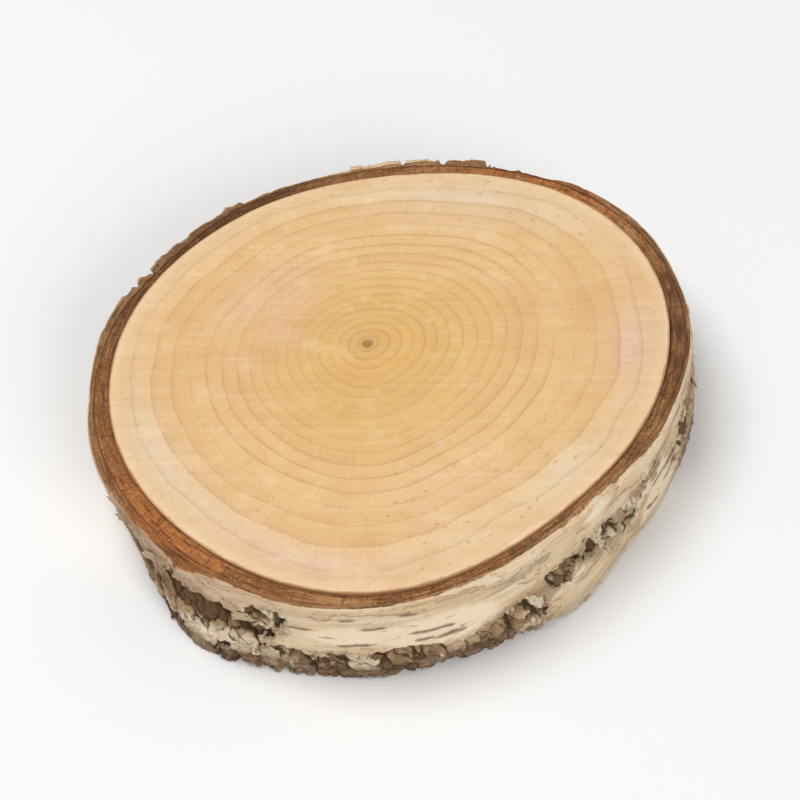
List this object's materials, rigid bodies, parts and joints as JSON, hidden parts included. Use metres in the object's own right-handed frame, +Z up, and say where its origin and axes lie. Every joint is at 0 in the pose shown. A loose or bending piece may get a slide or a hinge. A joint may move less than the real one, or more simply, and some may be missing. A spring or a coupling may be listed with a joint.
{
  "type": "birch wood slice",
  "caption": "Slice sawn from a birch branch: two flat wood faces with growth rings, a sunk ring of inner bark and a papery, fissured bark edge.",
  "frame": {"origin": "on the resting face, under the middle of the slice's box", "axes": "+Z up, along the branch from the resting face to the top face; +X to the right and -Y to the front, as the picture shows the slice"},
  "size_m": [0.053, 0.0522, 0.0095],
  "materials": {
    "wood": "sawn end grain, matt",
    "inner_bark": "dry, fibrous, reddish brown",
    "bark": "papery cream white with dark fissures, matt to satin"
  },
  "bodies": {
    "root": {"birch_slice": "wood"}
  },
  "joints": []
}
